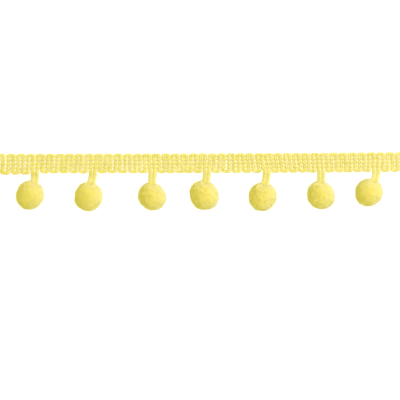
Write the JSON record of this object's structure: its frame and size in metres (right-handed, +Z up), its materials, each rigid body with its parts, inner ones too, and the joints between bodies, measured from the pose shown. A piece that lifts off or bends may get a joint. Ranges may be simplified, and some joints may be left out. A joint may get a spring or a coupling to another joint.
{
  "type": "pompom garland",
  "caption": "Cut length of pale yellow knitted braid with scalloped edges, with round sheared yarn pompoms hung from loops along one edge, lying flat.",
  "frame": {"origin": "on the braid's flat back, under its centre line beside the middle pompom's loop, at the surface the garland lies on", "axes": "+X along the braid, +Y across it towards the edge without pompoms, +Z up out of its face"},
  "size_m": [0.1614, 0.022, 0.0108],
  "materials": {
    "braid_yarn": "soft spun yarn, knitted",
    "pompom_yarn": "dense sheared pile, matt"
  },
  "bodies": {
    "root": {"braid": "braid_yarn", "loop_1": "braid_yarn", "loop_2": "braid_yarn", "loop_3": "braid_yarn", "loop_4": "braid_yarn", "loop_5": "braid_yarn", "loop_6": "braid_yarn", "loop_7": "braid_yarn", "pompom_1": "pompom_yarn", "pompom_2": "pompom_yarn", "pompom_3": "pompom_yarn", "pompom_4": "pompom_yarn", "pompom_5": "pompom_yarn", "pompom_6": "pompom_yarn", "pompom_7": "pompom_yarn"}
  },
  "joints": []
}
